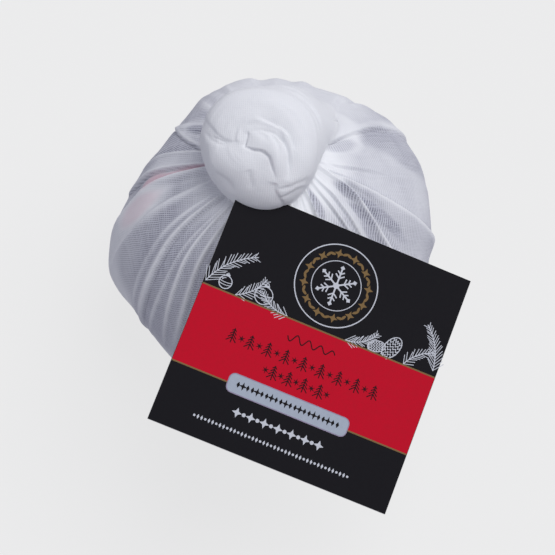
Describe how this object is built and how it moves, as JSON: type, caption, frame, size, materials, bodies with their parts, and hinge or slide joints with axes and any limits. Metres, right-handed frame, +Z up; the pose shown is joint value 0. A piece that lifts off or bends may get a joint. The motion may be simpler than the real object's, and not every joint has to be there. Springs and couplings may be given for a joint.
{
  "type": "cloth-wrapped christmas pudding with a card label",
  "caption": "Ball-shaped christmas pudding wrapped in muslin gathered to a coiled bun on top, with a stiff square card label held under the bun on the front shoulder.",
  "frame": {"origin": "middle of the flat spot the pudding stands on", "axes": "+Z up; -Y is the side the card leans out over; +X to the right seen from there"},
  "size_m": [0.1062, 0.1433, 0.1106],
  "materials": {
    "muslin": "open-weave white cotton muslin, matt, greyer where it is one layer thick",
    "card": "stiff card printed black with a red band, satin"
  },
  "bodies": {
    "root": {"wrapped_pudding": "muslin", "label_card": "card"}
  },
  "joints": []
}
